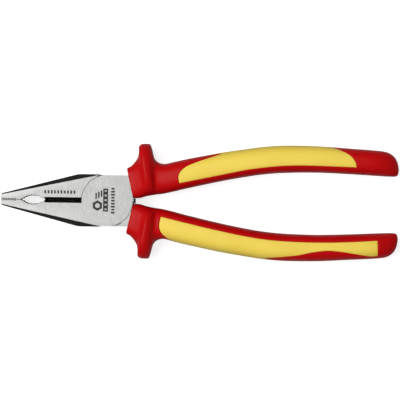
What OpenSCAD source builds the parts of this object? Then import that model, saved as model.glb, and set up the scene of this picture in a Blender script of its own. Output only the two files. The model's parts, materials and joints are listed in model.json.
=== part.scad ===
// Insulated lineman pliers, lying flat and closed.
// Millimetres. The origin is on the pivot axis, in the ground rear face of the head. +X runs
// to the handles, +Z along the pivot axis to the front face, and the jaws meet on the XZ plane.
// The modules work about the middle of the head, and placed() lifts them to the rear face.
// Both halves are one forging: the rear half is the front half turned 180 degrees about X.

/* [Head] */
// Distance from the pivot to the nose
nose_len = 47.9; // [44:0.1:52]
// Thickness of the ground head
head_t = 11; // [9:0.5:13]
// Half width of the jaws at their widest
jaw_half_w = 11.85; // [11.6:0.05:12.4]
// Half width of the nose at its end
nose_half_w = 2.75; // [2:0.05:4]
// Radius of the round joint cheek
cheek_r = 11.5; // [11:0.1:11.8]
// Half width of the ground face at the nose
face_nose_half_w = 2.1; // [1.8:0.05:2.4]
// Slope of the ground face's edge, in degrees from the middle
face_slope = 12; // [11.8:0.05:12.2]
// Slope of the bevelled flanks below the ground face, in degrees
flank_slope = 50; // [40:1:65]

/* [Joint] */
// Widest opening of the handles, in degrees
open_max = 32; // [20:1:34]
// Clearance between the round shoulders
shoulder_gap = 0.2; // [0.15:0.05:0.4]
// Clearance between each cheek and the middle plane
lap_gap = 0.05; // [0.03:0.01:0.1]
// Radius of the rivet's shank
rivet_r = 4; // [3:0.25:5]
// Radius of the rivet's spread heads
rivet_head_r = 5; // [4.5:0.25:6]
// Depth of the spread heads
rivet_head_t = 1.4; // [1:0.1:2]
// Running clearance of the rivet in the rear half
running_gap = 0.05; // [0.02:0.01:0.09]

/* [Jaws] */
// Gap left on each side of the middle when the jaws are closed
parting_gap = 0.05; // [0.03:0.01:0.1]
// Pitch of the fine teeth in the nose
nose_pitch = 1; // [0.8:0.1:1.5]
// Depth of the fine teeth in the nose
nose_tooth = 0.4; // [0.2:0.05:0.6]
// Where the fine teeth end, behind the nose
nose_teeth_len = 7; // [5:1:9]
// Centre of the pipe grip, ahead of the pivot
pipe_x = 33.6; // [33:0.1:34]
// Half length of the pipe grip
pipe_half_len = 5.4; // [5:0.1:5.6]
// Half height of the pipe grip
pipe_half_h = 2.2; // [1.8:0.1:2.5]
// Depth of the coarse teeth in the pipe grip
pipe_tooth = 0.45; // [0.3:0.05:0.6]
// Start of the wire cutter, ahead of the pivot
cutter_start = 28.3; // [28.1:0.1:28.5]
// End of the wire cutter, ahead of the pivot
cutter_end = 11.3; // [11:0.1:12]
// Half width of the cutter's groove in the faces
cutter_half_w = 1.25; // [1:0.05:1.5]
// Half height of the cutting wedge
cutter_wedge_h = 1.7; // [1.4:0.1:2.2]

/* [Handles] */
// Depth of the step from the ground face to the black neck under the grip
neck_step = 0.8; // [0.4:0.1:1.5]
// Thickness of the steel tang in the handle
tang_t = 7; // [6:0.5:8]
// Depth of the soft inlay below the skin
inlay_t = 1.4; // [1:0.1:1.8]
// Depth of the inner sleeve's outside below the skin
sleeve_depth = 2.4; // [2.2:0.1:2.6]
// Points round each ring of the grip
ring_points = 32; // [24:4:40]

/* [Hidden] */
$fn = 96;
half_t = head_t / 2;
bore = cheek_r + shoulder_gap;
// The neck's flat edge needs a little less room than the cheek, so the two cuts cross cleanly
neck_reach = bore - 0.02;
swing = open_max + 1;
neck_len = 14;
over = 30;
steel = [0.72, 0.72, 0.70];
red = [0.77, 0.09, 0.10];
yellow = [0.93, 0.82, 0.36];
dark_red = [0.42, 0.06, 0.07];

// The pipe grip is an arc through both ends of the oval
pipe_r = (pipe_half_len * pipe_half_len + pipe_half_h * pipe_half_h) / (2 * pipe_half_h);
pipe_rise = pipe_r - pipe_half_h;
pipe_angle = asin(pipe_half_len / pipe_r);
pipe_steps = 20;
// Share of the pipe grip, from the nose end, that has the coarse teeth
pipe_coarse = 0.6;

// Rings along the upper grip: inner edge x and y, outer edge x and y, half thickness, squareness
GRIP = [
    [11.7, 1.3, 8.6, 14.9, 7.3, 4.2],
    [13.0, 1.25, 10.3, 15.65, 7.4, 4.2],
    [14.8, 1.4, 12.1, 17.55, 8.0, 3.6],
    [16.6, 1.9, 13.5, 19.85, 8.7, 3.2],
    [17.5, 2.2, 13.9, 22.3, 9.4, 3.0],
    [18.1, 2.3, 13.9, 24.7, 9.9, 2.9],
    [19.0, 2.5, 15.1, 25.85, 10.42, 2.8],
    [20.6, 2.8, 17.6, 26.05, 9.65, 2.8],
    [21.8, 3.0, 19.1, 25.7, 8.1, 2.8],
    [22.5, 3.1, 20.0, 23.2, 7.55, 2.7],
    [23.4, 3.2, 21.0, 19.6, 7.35, 2.6],
    [24.8, 3.4, 22.6, 17.8, 7.4, 2.7],
    [27.0, 3.85, 25.6, 17.0, 7.65, 2.8],
    [30.8, 4.75, 30.0, 18.0, 7.95, 2.8],
    [36.0, 6.05, 35.5, 19.3, 8.2, 2.8],
    [50.3, 9.3, 50.0, 22.25, 8.6, 2.8],
    [61.0, 11.4, 61.0, 24.05, 8.8, 2.8],
    [70.0, 12.85, 70.0, 25.35, 8.9, 2.8],
    [80.0, 13.75, 80.0, 26.1, 8.9, 2.8],
    [95.0, 14.1, 95.0, 26.05, 8.7, 2.8],
    [110.0, 13.6, 110.0, 25.2, 8.3, 2.7],
    [121.0, 13.05, 121.0, 24.55, 7.8, 2.5],
    [126.5, 12.8, 126.5, 23.8, 6.2, 2.4],
    [129.2, 12.75, 129.6, 21.9, 4.4, 2.4],
    [130.7, 12.95, 131.1, 19.5, 2.9, 2.4],
    [131.5, 13.6, 131.7, 17.2, 1.6, 2.3],
    [131.8, 15.0, 131.9, 15.6, 0.5, 2.0]
];
// Turn of the grip's front edge from square
front_turn = atan((GRIP[0][0] - GRIP[0][2]) / (GRIP[0][3] - GRIP[0][1]));
sleeve_first = 12;
sleeve_last = 20.5;
ring_steps = 2;

// Window for the soft inlay on the face above the pivot joint
WINDOW_ABOVE = [
    [32.5, 8.2], [44.6, 10.7], [55.9, 13.2], [63.4, 14.7], [73.4, 16.1], [81.7, 16.9],
    [94.7, 16.9], [107.8, 16.65], [112.4, 16.5], [111.9, 18.9], [110.3, 21.4],
    [107.7, 23.2], [104.1, 24.8], [100, 28], [58, 28], [57, 24], [52, 22],
    [46.4, 20.3], [40.8, 18.4], [37, 16.8], [34, 15.3], [31.9, 11.1]
];
// Window for the soft inlay on the face below it
WINDOW_BELOW = [
    [24.3, 6.75], [38.7, 10], [50.9, 12.65], [63.1, 15.1], [73.9, 16.55], [91.8, 17.4],
    [108.3, 17], [122.4, 16.1], [122.6, 23.3], [112.7, 22.6], [106.2, 21.7],
    [99.6, 21.25], [91, 22.6], [80.2, 24.2], [71.5, 24.6], [67, 28], [28, 28],
    [27.5, 16.9], [25.4, 15.3], [23.8, 13.1], [23.5, 11]
];

// Smooth value between rings k[1] and k[2] of four, at t from 0 to 1
function between(k, t) = 0.5 * (
    2 * k[1] + (k[2] - k[0]) * t
    + (2 * k[0] - 5 * k[1] + 4 * k[2] - k[3]) * t * t
    + (3 * k[1] - k[0] - 3 * k[2] + k[3]) * t * t * t
);
// Row of the grip table at a place counted in rings from the front
function grip_at(place) = let (
    last = len(GRIP) - 1,
    i = min(floor(place), last - 1),
    k = [GRIP[max(i - 1, 0)], GRIP[i], GRIP[i + 1], GRIP[min(i + 2, last)]]
) between(k, place - i);
// Signed power, which squares off an ellipse
function squared(v, n) = sign(v) * pow(abs(v), 2 / n);
// One ring of points, depth below the grip's skin
function ring(place, depth) = let (
    row = grip_at(place),
    inner = [row[0], row[1]],
    outer = [row[2], row[3]],
    mid = (inner + outer) / 2,
    half = (outer - inner) / 2,
    wide = max(norm(half) - depth, 0.05),
    high = max(row[4] - depth, 0.05)
) [for (k = [0:ring_points - 1]) let (
    a = 360 * k / ring_points,
    p = mid + half / norm(half) * wide * squared(cos(a), row[5])
) [p[0], p[1], high * squared(sin(a), row[5])]];
// Sides of a tube between two rings of n points
function tube_faces(i, n) = [for (k = [0:n - 1])
    each [[i * n + k, (i + 1) * n + k, i * n + (k + 1) % n],
          [i * n + (k + 1) % n, (i + 1) * n + k, (i + 1) * n + (k + 1) % n]]];

// Solid inside the grip's skin, depth below it, between two places
module skin(depth, first = 0, last = len(GRIP) - 1) {
    count = round((last - first) * ring_steps);
    rings = [for (i = [0:count]) ring(first + (last - first) * i / count, depth)];
    n = ring_points;
    polyhedron(
        points = [for (r = rings) each r],
        faces = concat(
            [[for (k = [0:n - 1]) k]],
            [for (i = [0:count - 1]) each tube_faces(i, n)],
            [[for (k = [n - 1:-1:0]) count * n + k]]
        )
    );
}

// Keeps a freely curved part as one fine mesh
module one_mesh() {
    resize([0, 0, 0])
        children();
}

// Line along the jaw's meeting edge, from the nose back to the joint
function nose_line() = let (count = round(nose_teeth_len / nose_pitch)) [
    for (i = [0:count - 1]) each [
        [-nose_len + nose_pitch * i, -parting_gap],
        [-nose_len + nose_pitch * (i + 0.5), -parting_gap - nose_tooth]
    ],
    [-nose_len + nose_pitch * count, -parting_gap]
];
// Toothed arc of the pipe grip, coarse in the half nearer the nose and finer behind it
function pipe_line() = [for (i = [0:pipe_steps]) let (
    a = pipe_angle * (2 * i / pipe_steps - 1),
    cut = i % 2 == 1 ? 0 : i <= pipe_steps * pipe_coarse ? pipe_tooth : pipe_tooth / 2,
    r = pipe_r - (i == 0 || i == pipe_steps ? 0 : cut)
) [-pipe_x + r * sin(a), min(pipe_rise - r * cos(a), -parting_gap)]];

// Outline of the lower jaw
module jaw_outline() {
    polygon(concat(
        nose_line(),
        pipe_line(),
        [
            [0, -parting_gap],
            [0, -cheek_r],
            [-2, -cheek_r],
            [-4, -jaw_half_w],
            [-12.2, -jaw_half_w],
            [-13.6, -jaw_half_w + 0.15],
            [-15, -jaw_half_w + 0.5],
            [-nose_len + 0.5, -nose_half_w],
            [-nose_len, -nose_half_w + 0.5]
        ]
    ));
}

// Outline of the upper neck, from the cheek to the tang
module neck_outline() {
    polygon([
        [0, parting_gap],
        [12.7, parting_gap],
        [12.7, 1.15],
        [11.75, 1.15],
        [12.1, 2.7],
        [15.6, 3.4],
        [15.6, cheek_r - 0.1],
        [neck_len, cheek_r],
        [0, cheek_r]
    ]);
}

// Outline of the tang inside the upper handle
module tang_outline() {
    polygon([
        [12, 4], [18, 5.2], [25, 7.2], [36, 9.9], [50, 12.9], [66, 16], [80, 17.3],
        [96, 17.6], [108, 17.3], [111, 18.3], [111, 20.2], [108, 21.5], [96, 22.2],
        [80, 22.6], [66, 21.4], [50, 18.7], [36, 15.8], [25, 13.2], [15, 11], [12, 10]
    ]);
}

// Steel of the neck and tang, which the grip is moulded round
module tang() {
    translate([0, 0, -tang_t / 2])
        linear_extrude(tang_t)
            tang_outline();
}

// Neck, stepped down on both faces where the grip begins
module neck() {
    difference() {
        translate([0, 0, -half_t])
            linear_extrude(head_t)
                neck_outline();
        for (side = [0, 1])
            mirror([0, 0, side])
                translate([GRIP[0][0], GRIP[0][1], half_t - neck_step])
                    rotate([0, 0, front_turn])
                        translate([0, -over / 2, 0])
                            cube([over, over * 1.5, over]);
    }
}

// Cuts the dark bevelled flank off one face of the lower jaw
module flank_cut() {
    translate([-nose_len, -face_nose_half_w, half_t])
        rotate([0, 0, -face_slope])
            rotate([flank_slope, 0, 0])
                translate([-1, -over, 0])
                    cube([nose_len + 1, over, over]);
}

// Groove and cutting wedge of the wire cutter, for the lower jaw
module cutter_cut() {
    translate([-cutter_end, 0, 0])
        rotate([90, 0, -90])
            linear_extrude(cutter_start - cutter_end)
                polygon([
                    [-2, half_t + 1],
                    [cutter_half_w, half_t + 1],
                    [cutter_half_w, cutter_wedge_h],
                    [parting_gap, 0],
                    [cutter_half_w, -cutter_wedge_h],
                    [cutter_half_w, -half_t - 1],
                    [-2, -half_t - 1]
                ]);
}

// Room below the lap for the other half's cheek, and for its neck and jaw as they swing
module lap_cut() {
    translate([0, 0, -half_t - 1])
        linear_extrude(half_t + 1 + lap_gap) {
            circle(bore);
            rotate(-swing)
                translate([0, -neck_reach])
                    square([neck_len, neck_reach]);
            rotate(-swing)
                translate([-neck_len, 0])
                    square([neck_len, jaw_half_w + shoulder_gap]);
        }
}

// Rivet with spread, flush heads; grow is the clearance added round it
module rivet_solid(grow) {
    rotate_extrude()
        polygon([
            [0, -half_t],
            [rivet_head_r + grow, -half_t],
            [rivet_r + grow, -half_t + rivet_head_t],
            [rivet_r + grow, half_t - rivet_head_t],
            [rivet_head_r + grow, half_t],
            [0, half_t]
        ]);
}

// One forging: lower jaw, front cheek, upper neck and tang
module forging(rivet_grow) {
    difference() {
        union() {
            difference() {
                union() {
                    translate([0, 0, -half_t])
                        linear_extrude(head_t)
                            jaw_outline();
                    neck();
                }
                lap_cut();
                for (side = [0, 1])
                    mirror([0, 0, side])
                        flank_cut();
                cutter_cut();
            }
            translate([0, 0, lap_gap])
                linear_extrude(half_t - lap_gap)
                    circle(cheek_r);
            tang();
        }
        rivet_solid(rivet_grow);
    }
}

module sleeve() {
    one_mesh()
        difference() {
            skin(sleeve_depth, sleeve_first, sleeve_last);
            tang();
        }
}

module inlay_windows() {
    linear_extrude(over)
        polygon(WINDOW_ABOVE);
    mirror([0, 0, 1])
        linear_extrude(over)
            polygon(WINDOW_BELOW);
}

module inlay() {
    one_mesh()
        intersection() {
            difference() {
                skin(0);
                skin(inlay_t);
            }
            inlay_windows();
        }
}

module grip() {
    one_mesh()
        difference() {
            skin(0);
            intersection() {
                difference() {
                    skin(-1);
                    skin(inlay_t);
                }
                inlay_windows();
            }
            skin(sleeve_depth, sleeve_first, sleeve_last);
            tang();
            neck();
        }
}

// Lifts a part of the front half from the middle of the head to its place
module placed() {
    translate([0, 0, half_t])
        children();
}

// Turns a part of the front half into the same part of the rear half
module turned() {
    placed()
        rotate([180, 0, 0])
            children();
}

module front_half() {
    color(steel)
        placed()
            forging(0);
}

module rear_half() {
    color(steel)
        turned()
            forging(running_gap);
}

module pivot_rivet() {
    color(steel)
        placed()
            rivet_solid(0);
}

module upper_sleeve() {
    color(dark_red)
        placed()
            sleeve();
}

module lower_sleeve() {
    color(dark_red)
        turned()
            sleeve();
}

module upper_grip() {
    color(red)
        placed()
            grip();
}

module lower_grip() {
    color(red)
        turned()
            grip();
}

module upper_inlay() {
    color(yellow)
        placed()
            inlay();
}

module lower_inlay() {
    color(yellow)
        turned()
            inlay();
}

front_half();
rear_half();
pivot_rivet();
upper_sleeve();
lower_sleeve();
upper_grip();
lower_grip();
upper_inlay();
lower_inlay();
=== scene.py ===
"""Looks of a pair of insulated lineman pliers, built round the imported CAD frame.

Two equal forgings cross in a lap joint on one rivet. Each carries a red grip with a guard
collar and a yellow inlay that twists round its outer side. Lengths in the dataclasses are in
millimetres, and every mesh is made in metres in the frame of the CAD model.
"""

import json
import logging
import math
from dataclasses import dataclass, field
from enum import Enum

import bmesh
import bpy
import numpy as np
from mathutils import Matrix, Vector

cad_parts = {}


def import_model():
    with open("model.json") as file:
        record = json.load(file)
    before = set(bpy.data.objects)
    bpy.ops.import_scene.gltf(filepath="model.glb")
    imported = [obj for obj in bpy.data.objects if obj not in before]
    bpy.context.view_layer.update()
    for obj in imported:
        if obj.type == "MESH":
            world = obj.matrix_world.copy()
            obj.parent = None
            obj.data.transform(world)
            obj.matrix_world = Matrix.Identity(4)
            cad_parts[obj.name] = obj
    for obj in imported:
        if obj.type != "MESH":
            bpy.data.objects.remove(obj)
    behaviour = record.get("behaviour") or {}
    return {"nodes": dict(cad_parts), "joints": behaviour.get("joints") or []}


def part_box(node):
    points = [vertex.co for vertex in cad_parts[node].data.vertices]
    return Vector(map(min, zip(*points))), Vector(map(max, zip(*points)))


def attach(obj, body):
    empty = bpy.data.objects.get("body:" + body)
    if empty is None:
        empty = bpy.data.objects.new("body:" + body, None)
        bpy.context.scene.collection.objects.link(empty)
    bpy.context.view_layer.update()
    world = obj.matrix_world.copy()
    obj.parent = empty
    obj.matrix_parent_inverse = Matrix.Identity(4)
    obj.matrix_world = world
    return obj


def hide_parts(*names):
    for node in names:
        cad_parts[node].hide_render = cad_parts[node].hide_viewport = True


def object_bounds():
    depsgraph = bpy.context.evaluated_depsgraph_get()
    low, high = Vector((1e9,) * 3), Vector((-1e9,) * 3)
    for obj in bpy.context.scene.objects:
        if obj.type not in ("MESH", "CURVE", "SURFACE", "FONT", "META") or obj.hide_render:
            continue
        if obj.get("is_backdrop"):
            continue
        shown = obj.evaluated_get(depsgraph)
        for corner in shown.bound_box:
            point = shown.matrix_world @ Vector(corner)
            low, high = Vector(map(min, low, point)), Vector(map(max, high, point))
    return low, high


MM = 0.001
TINY = 1e-12
log = logging.getLogger("pliers")

Triple = tuple[float, float, float]
Colour = Triple
Point = tuple[float, float]
Link = tuple[bpy.types.Node, str | int, bpy.types.Node, str | int]
Layers = dict[str, bmesh.types.BMLayerItem]


class Lever(Enum):
    """The two levers of the tool, by the body that each rides on."""

    FRONT = "front_lever"
    REAR = "rear_lever"

    @property
    def turned(self) -> bool:
        """Whether the lever is the front one turned over about the tool's length."""
        return self is Lever.REAR

    @property
    def side(self) -> float:
        """The sign of y and z on the lever, against the front one."""
        return -1.0 if self.turned else 1.0

    @property
    def forging(self) -> str:
        """The CAD node of the lever's steel half."""
        return "rear_half" if self.turned else "front_half"

    @property
    def handle(self) -> str:
        """The side of the tool that the lever's handle lies on."""
        return "lower" if self.turned else "upper"


# ---- Shader groups and finishes ----


def group_tree(
    name: str, inputs: list[tuple[str, str, object]], outputs: list[tuple[str, str]]
) -> tuple[bpy.types.NodeTree, bpy.types.Node, bpy.types.Node]:
    """Makes an empty shader group with its sockets.

    Args:
        name: The group's name.
        inputs: Name, socket type and default value of each input.
        outputs: Name and socket type of each output.

    Returns:
        The node tree, its Group Input node and its Group Output node.
    """
    tree = bpy.data.node_groups.new(name, "ShaderNodeTree")
    for label, kind, value in inputs:
        socket = tree.interface.new_socket(label, in_out="INPUT", socket_type=kind)
        if value is not None:
            socket.default_value = value
    for label, kind in outputs:
        tree.interface.new_socket(label, in_out="OUTPUT", socket_type=kind)
    return tree, tree.nodes.new("NodeGroupInput"), tree.nodes.new("NodeGroupOutput")


def node_in(tree: bpy.types.NodeTree, kind: str, **values: object) -> bpy.types.Node:
    """Adds a node and sets its properties and input defaults.

    Args:
        tree: The tree that the node is added to.
        kind: The node's type name.
        values: Properties by name, or inputs by name with _ for a space.

    Returns:
        The new node.
    """
    node = tree.nodes.new(kind)
    for key, value in values.items():
        label = key.replace("_", " ")
        if label in node.inputs:
            node.inputs[label].default_value = value
        else:
            setattr(node, key, value)
    return node


def wire(tree: bpy.types.NodeTree, *links: Link) -> None:
    """Joins sockets, each link as source node, its output, target node and its input."""
    for source, output, target, entry in links:
        tree.links.new(source.outputs[output], target.inputs[entry])


def grain_group() -> None:
    """Makes a group of fine relief, which may be stretched, and of a coarser mask."""
    tree, given, out = group_tree(
        "surface_grain",
        [
            ("Vector", "NodeSocketVector", None),
            ("Scale", "NodeSocketFloat", 1000.0),
            ("Stretch", "NodeSocketVector", (1.0, 1.0, 1.0)),
            ("Coarse Scale", "NodeSocketFloat", 60.0),
        ],
        [("Height", "NodeSocketFloat"), ("Patches", "NodeSocketFloat")],
    )
    mapping = node_in(tree, "ShaderNodeMapping")
    fine = node_in(tree, "ShaderNodeTexNoise", Detail=3.0, Roughness=0.6)
    coarse = node_in(tree, "ShaderNodeTexNoise", Detail=2.0, Roughness=0.5)
    wire(
        tree,
        (given, "Vector", mapping, "Vector"),
        (given, "Stretch", mapping, "Scale"),
        (mapping, "Vector", fine, "Vector"),
        (given, "Scale", fine, "Scale"),
        (given, "Vector", coarse, "Vector"),
        (given, "Coarse Scale", coarse, "Scale"),
        (fine, "Fac", out, "Height"),
        (coarse, "Fac", out, "Patches"),
    )


def tone_group() -> None:
    """Makes a group that mixes two tones by a mask squeezed between two levels."""
    tree, given, out = group_tree(
        "two_tone",
        [
            ("Mask", "NodeSocketFloat", 0.5),
            ("Low", "NodeSocketFloat", 0.3),
            ("High", "NodeSocketFloat", 0.7),
            ("Tone A", "NodeSocketColor", (1.0, 1.0, 1.0, 1.0)),
            ("Tone B", "NodeSocketColor", (0.0, 0.0, 0.0, 1.0)),
        ],
        [("Colour", "NodeSocketColor")],
    )
    squeeze = node_in(tree, "ShaderNodeMapRange", interpolation_type="SMOOTHSTEP")
    mix = node_in(tree, "ShaderNodeMix", data_type="RGBA")
    wire(
        tree,
        (given, "Mask", squeeze, "Value"),
        (given, "Low", squeeze, "From Min"),
        (given, "High", squeeze, "From Max"),
        (squeeze, "Result", mix, 0),
        (given, "Tone A", mix, 6),
        (given, "Tone B", mix, 7),
        (mix, 2, out, "Colour"),
    )


def wear_group() -> None:
    """Makes a group for rubbed edges: the mesh's edge attribute, broken up by noise."""
    tree, given, out = group_tree(
        "edge_wear",
        [
            ("Vector", "NodeSocketVector", None),
            ("Scale", "NodeSocketFloat", 500.0),
            ("Amount", "NodeSocketFloat", 0.5),
        ],
        [("Mask", "NodeSocketFloat")],
    )
    edge = node_in(tree, "ShaderNodeAttribute", attribute_name="edge")
    noise = node_in(tree, "ShaderNodeTexNoise", Detail=2.0)
    shift = node_in(tree, "ShaderNodeMath", operation="ADD")
    times = node_in(tree, "ShaderNodeMath", operation="MULTIPLY", use_clamp=True)
    ramp = node_in(tree, "ShaderNodeMapRange", From_Min=0.9, From_Max=1.1)
    wire(
        tree,
        (given, "Vector", noise, "Vector"),
        (given, "Scale", noise, "Scale"),
        (noise, "Fac", shift, 0),
        (given, "Amount", shift, 1),
        (shift, 0, ramp, "Value"),
        (ramp, "Result", times, 0),
        (edge, "Fac", times, 1),
        (times, 0, out, "Mask"),
    )


@dataclass(frozen=True)
class Finish:
    """A surface finish: two tones, gloss, metal, relief and rubbed edges."""

    name: str
    tone: Colour
    second: Colour
    roughness: tuple[float, float]
    metallic: float = 0.0
    grain: float = 1500.0
    grain_share: float = 0.5
    stretch: Triple = (1.0, 1.0, 1.0)
    patches: float = 60.0
    patch_levels: tuple[float, float] = (0.3, 0.7)
    relief: float = 0.00002
    relief_strength: float = 0.3
    worn: Colour | None = None
    wear: float = 0.5
    specular: float = 0.5

    def mask(self, tree: bpy.types.NodeTree, grain: bpy.types.Node) -> bpy.types.Node:
        """Blends the fine and the coarse grain into one mask.

        Args:
            tree: The material's tree.
            grain: The grain group's node.

        Returns:
            The node that puts the mask out.
        """
        fine = node_in(tree, "ShaderNodeMath", operation="MULTIPLY")
        fine.inputs[1].default_value = self.grain_share
        blend = node_in(tree, "ShaderNodeMath", operation="MULTIPLY_ADD")
        blend.inputs[1].default_value = 1.0 - self.grain_share
        wire(tree, (grain, "Height", fine, 0), (grain, "Patches", blend, 0), (fine, 0, blend, 2))
        return blend

    def colour(
        self, tree: bpy.types.NodeTree, place: bpy.types.Node, mask: bpy.types.Node
    ) -> bpy.types.NodeSocket:
        """Mixes the two tones by the mask, with the worn tone over them at rubbed edges.

        Args:
            tree: The material's tree.
            place: The Texture Coordinate node.
            mask: The node that puts the mask out.

        Returns:
            The colour's socket.
        """
        groups = bpy.data.node_groups
        tone = node_in(
            tree, "ShaderNodeGroup", node_tree=groups["two_tone"], Low=self.patch_levels[0],
            High=self.patch_levels[1], Tone_A=(*self.tone, 1.0), Tone_B=(*self.second, 1.0),
        )
        wire(tree, (mask, 0, tone, "Mask"))
        if not self.worn:
            return tone.outputs["Colour"]
        rubbed = node_in(
            tree, "ShaderNodeGroup", node_tree=groups["edge_wear"], Amount=self.wear
        )
        mix = node_in(tree, "ShaderNodeMix", data_type="RGBA")
        mix.inputs[7].default_value = (*self.worn, 1.0)
        wire(
            tree,
            (place, "Object", rubbed, "Vector"),
            (rubbed, "Mask", mix, 0),
            (tone, "Colour", mix, 6),
        )
        return mix.outputs[2]

    def material(self) -> bpy.types.Material:
        """Builds the finish as a node material.

        Returns:
            The material, made once and then reused by name.
        """
        if self.name in bpy.data.materials:
            return bpy.data.materials[self.name]
        mat = bpy.data.materials.new(self.name)
        mat.use_nodes = True
        mat.diffuse_color = (*self.tone, 1.0)
        tree = mat.node_tree
        shader = tree.nodes["Principled BSDF"]
        shader.inputs["Metallic"].default_value = self.metallic
        shader.inputs["Specular IOR Level"].default_value = self.specular
        place = node_in(tree, "ShaderNodeTexCoord")
        grain = node_in(
            tree, "ShaderNodeGroup", node_tree=bpy.data.node_groups["surface_grain"],
            Scale=self.grain, Stretch=self.stretch, Coarse_Scale=self.patches,
        )
        mask = self.mask(tree, grain)
        tree.links.new(self.colour(tree, place, mask), shader.inputs["Base Color"])
        gloss = node_in(
            tree, "ShaderNodeMapRange", To_Min=self.roughness[0], To_Max=self.roughness[1]
        )
        bump = node_in(
            tree, "ShaderNodeBump", Strength=self.relief_strength, Distance=self.relief
        )
        wire(
            tree,
            (place, "Object", grain, "Vector"),
            (mask, 0, gloss, "Value"),
            (gloss, "Result", shader, "Roughness"),
            (grain, "Height", bump, "Height"),
            (bump, "Normal", shader, "Normal"),
        )
        return mat


GROUND_STEEL = Finish(
    name="ground_steel", tone=(0.397, 0.398, 0.386), second=(0.332, 0.334, 0.325),
    roughness=(0.5, 0.6), metallic=1.0, grain=3600.0, stretch=(1.0, 0.12, 1.0),
    grain_share=0.75, patches=300.0, patch_levels=(0.3, 0.7), relief=0.000008,
    relief_strength=0.3, worn=(0.72, 0.72, 0.71), wear=0.6,
)
# Black forging, also used on the toothed rims' bevels as painted shade for the gaps between the
# teeth
FORGED_BLACK_AND_TOOTH_SHADE = Finish(
    name="forged_black_and_tooth_shade", tone=(0.008, 0.008, 0.0075), second=(0.015, 0.0145, 0.0135),
    roughness=(0.42, 0.6), metallic=0.0, grain=1400.0, patches=260.0,
    relief=0.00003, relief_strength=0.5, worn=(0.07, 0.07, 0.066), wear=0.45, specular=0.16,
)
RED_SHELL = Finish(
    name="red_shell", tone=(0.50, 0.002, 0.003), second=(0.45, 0.0015, 0.0025),
    roughness=(0.36, 0.46), grain=3200.0, patches=90.0, relief=0.00001,
    relief_strength=0.35, specular=0.09,
)
YELLOW_SOFT = Finish(
    name="yellow_soft", tone=(0.86, 0.645, 0.085), second=(0.81, 0.59, 0.07),
    roughness=(0.48, 0.6), grain=2600.0, patches=80.0, relief=0.000015,
    relief_strength=0.4, specular=0.3,
)
INNER_LAYER = Finish(
    name="inner_layer", tone=(0.15, 0.006, 0.007), second=(0.12, 0.005, 0.006),
    roughness=(0.4, 0.5), grain=1500.0,
)
MARKING = Finish(
    name="laser_marking", tone=(0.022, 0.022, 0.022), second=(0.04, 0.04, 0.04),
    roughness=(0.55, 0.7), grain=3000.0, patches=900.0, specular=0.2,
)
PALE_FLOOR = Finish(
    name="pale_floor", tone=(0.46, 0.46, 0.46), second=(0.44, 0.44, 0.44),
    roughness=(0.7, 0.8), grain=40.0, patches=3.0, relief_strength=0.0, specular=0.1,
)


# ---- Mesh helpers ----


def new_piece(name: str, mesh: bpy.types.Mesh) -> bpy.types.Object:
    """Puts a mesh in the scene as an object at the origin.

    Args:
        name: The piece's name.
        mesh: Its mesh, already in place in metres.

    Returns:
        The new object.
    """
    mesh.name = name
    piece = bpy.data.objects.new(name, mesh)
    bpy.context.scene.collection.objects.link(piece)
    return piece


def mesh_of(bm: bmesh.types.BMesh, name: str) -> bpy.types.Mesh:
    """Turns a bmesh into a new mesh and frees it.

    Args:
        bm: The bmesh.
        name: The mesh's name.

    Returns:
        The new mesh.
    """
    mesh = bpy.data.meshes.new(name)
    bm.to_mesh(mesh)
    bm.free()
    return mesh


def welded_copy(node: bpy.types.Object) -> bmesh.types.BMesh:
    """Copies a CAD node's mesh and joins its loose triangles into flat faces.

    Args:
        node: The CAD node's object, which stays as it is.

    Returns:
        The copy as a bmesh, which the caller frees.
    """
    weld = 2e-6
    flat = math.radians(0.4)
    bm = bmesh.new()
    bm.from_mesh(node.data)
    bmesh.ops.remove_doubles(bm, verts=bm.verts[:], dist=weld)
    bmesh.ops.dissolve_limit(
        bm, angle_limit=flat, verts=bm.verts[:], edges=bm.edges[:], use_dissolve_boundaries=False
    )
    return bm


def baked(piece: bpy.types.Object) -> None:
    """Replaces a piece's mesh with what its modifiers make of it, and removes them.

    Args:
        piece: The piece, which is changed.
    """
    graph = bpy.context.evaluated_depsgraph_get()
    mesh = bpy.data.meshes.new_from_object(piece.evaluated_get(graph))
    piece.modifiers.clear()
    piece.data = mesh


def drop_slivers(mesh: bpy.types.Mesh) -> None:
    """Leaves one clean shell of a cut mesh, without the flat slivers that a cut leaves.

    Args:
        mesh: The mesh to clean, which is changed.
    """
    weld = 1e-6
    bm = bmesh.new()
    bm.from_mesh(mesh)
    bmesh.ops.remove_doubles(bm, verts=bm.verts[:], dist=weld)
    bmesh.ops.dissolve_degenerate(bm, edges=bm.edges[:], dist=weld)
    twins: dict[frozenset[bmesh.types.BMVert], list[bmesh.types.BMFace]] = {}
    for face in bm.faces:
        twins.setdefault(frozenset(face.verts), []).append(face)
    flaps = [f for group in twins.values() if len(group) > 1 for f in group]
    bmesh.ops.delete(bm, geom=flaps, context="FACES")
    left = set(bm.faces)
    shells: list[set[bmesh.types.BMFace]] = []
    while left:
        shell, front = set(), [left.pop()]
        while front:
            face = front.pop()
            shell.add(face)
            near = {f for e in face.edges for f in e.link_faces} & left
            left -= near
            front.extend(near)
        shells.append(shell)
    kept = max(shells, key=len)
    bmesh.ops.delete(bm, geom=[f for f in bm.faces if f not in kept], context="FACES")
    bm.to_mesh(mesh)
    bm.free()


def soften(mesh: bpy.types.Mesh, angle: float) -> None:
    """Shades a mesh smooth, except at its sharper edges.

    Args:
        mesh: The mesh, which is changed.
        angle: Angle in degrees from which an edge stays sharp.
    """
    bm = bmesh.new()
    bm.from_mesh(mesh)
    limit = math.radians(angle)
    for face in bm.faces:
        face.smooth = True
    for edge in bm.edges:
        edge.smooth = len(edge.link_faces) == 2 and edge.calc_face_angle(0.0) < limit
    bm.to_mesh(mesh)
    bm.free()


# ---- Steel ----


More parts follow.
